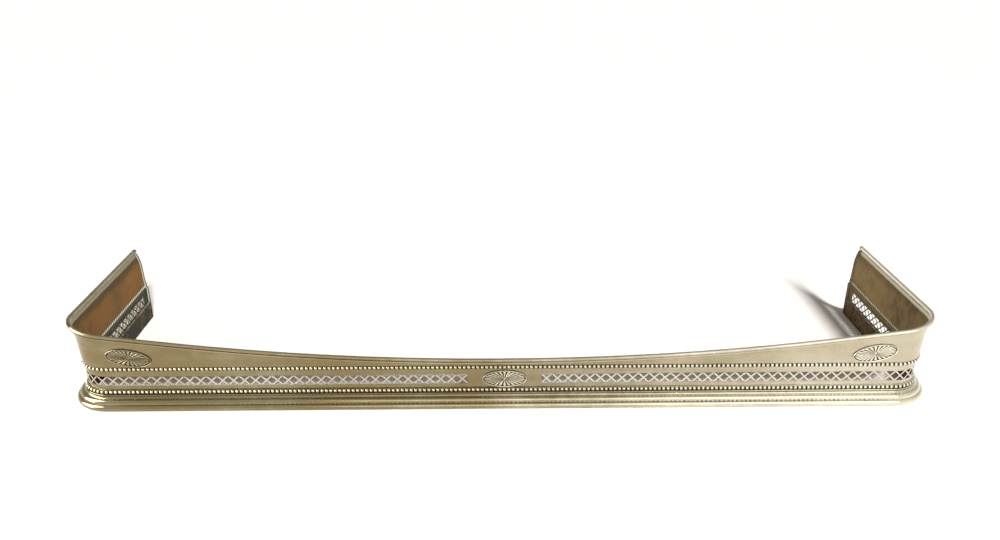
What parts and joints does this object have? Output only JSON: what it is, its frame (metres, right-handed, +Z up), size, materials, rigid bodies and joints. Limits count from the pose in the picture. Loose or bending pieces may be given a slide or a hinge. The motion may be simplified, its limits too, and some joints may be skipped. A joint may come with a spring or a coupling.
{
  "type": "fire fender",
  "caption": "Low brass fire fender with rounded front corners, short returns, a swept rolled rim, beading, pierced lattice, oval paterae and a moulded plinth.",
  "frame": {"origin": "on the floor under the middle of the fender's overall width and depth", "axes": "+X to the right along the front as seen from the room, +Y away from the room towards the fireplace, +Z up"},
  "size_m": [1.22, 0.3, 0.123],
  "materials": {
    "sheet_brass": "aged polish, with warm streaks and worn highlights",
    "rim_brass": "bright polish worn by handling",
    "patera_brass": "polished relief with dark tarnish between the flutes",
    "iron": "dark bare iron with rust and soot"
  },
  "bodies": {
    "root": {"front_frieze": "sheet_brass", "left_frieze": "sheet_brass", "right_frieze": "sheet_brass", "left_corner_frieze": "sheet_brass", "right_corner_frieze": "sheet_brass", "front_gallery": "sheet_brass", "left_gallery": "sheet_brass", "right_gallery": "sheet_brass", "left_corner_gallery": "sheet_brass", "right_corner_gallery": "sheet_brass", "front_plinth": "sheet_brass", "left_plinth": "sheet_brass", "right_plinth": "sheet_brass", "left_corner_plinth": "sheet_brass", "right_corner_plinth": "sheet_brass", "front_rim": "rim_brass", "left_rim": "rim_brass", "right_rim": "rim_brass", "left_corner_rim": "rim_brass", "right_corner_rim": "rim_brass", "rim_wire": "iron", "front_frame": "iron", "left_frame": "iron", "right_frame": "iron", "left_corner_frame": "iron", "right_corner_frame": "iron", "left_end_strip": "iron", "right_end_strip": "iron", "left_end_plate": "iron", "right_end_plate": "iron", "end_rivets": "iron", "left_patera": "patera_brass", "centre_patera": "patera_brass", "right_patera": "patera_brass"}
  },
  "joints": []
}
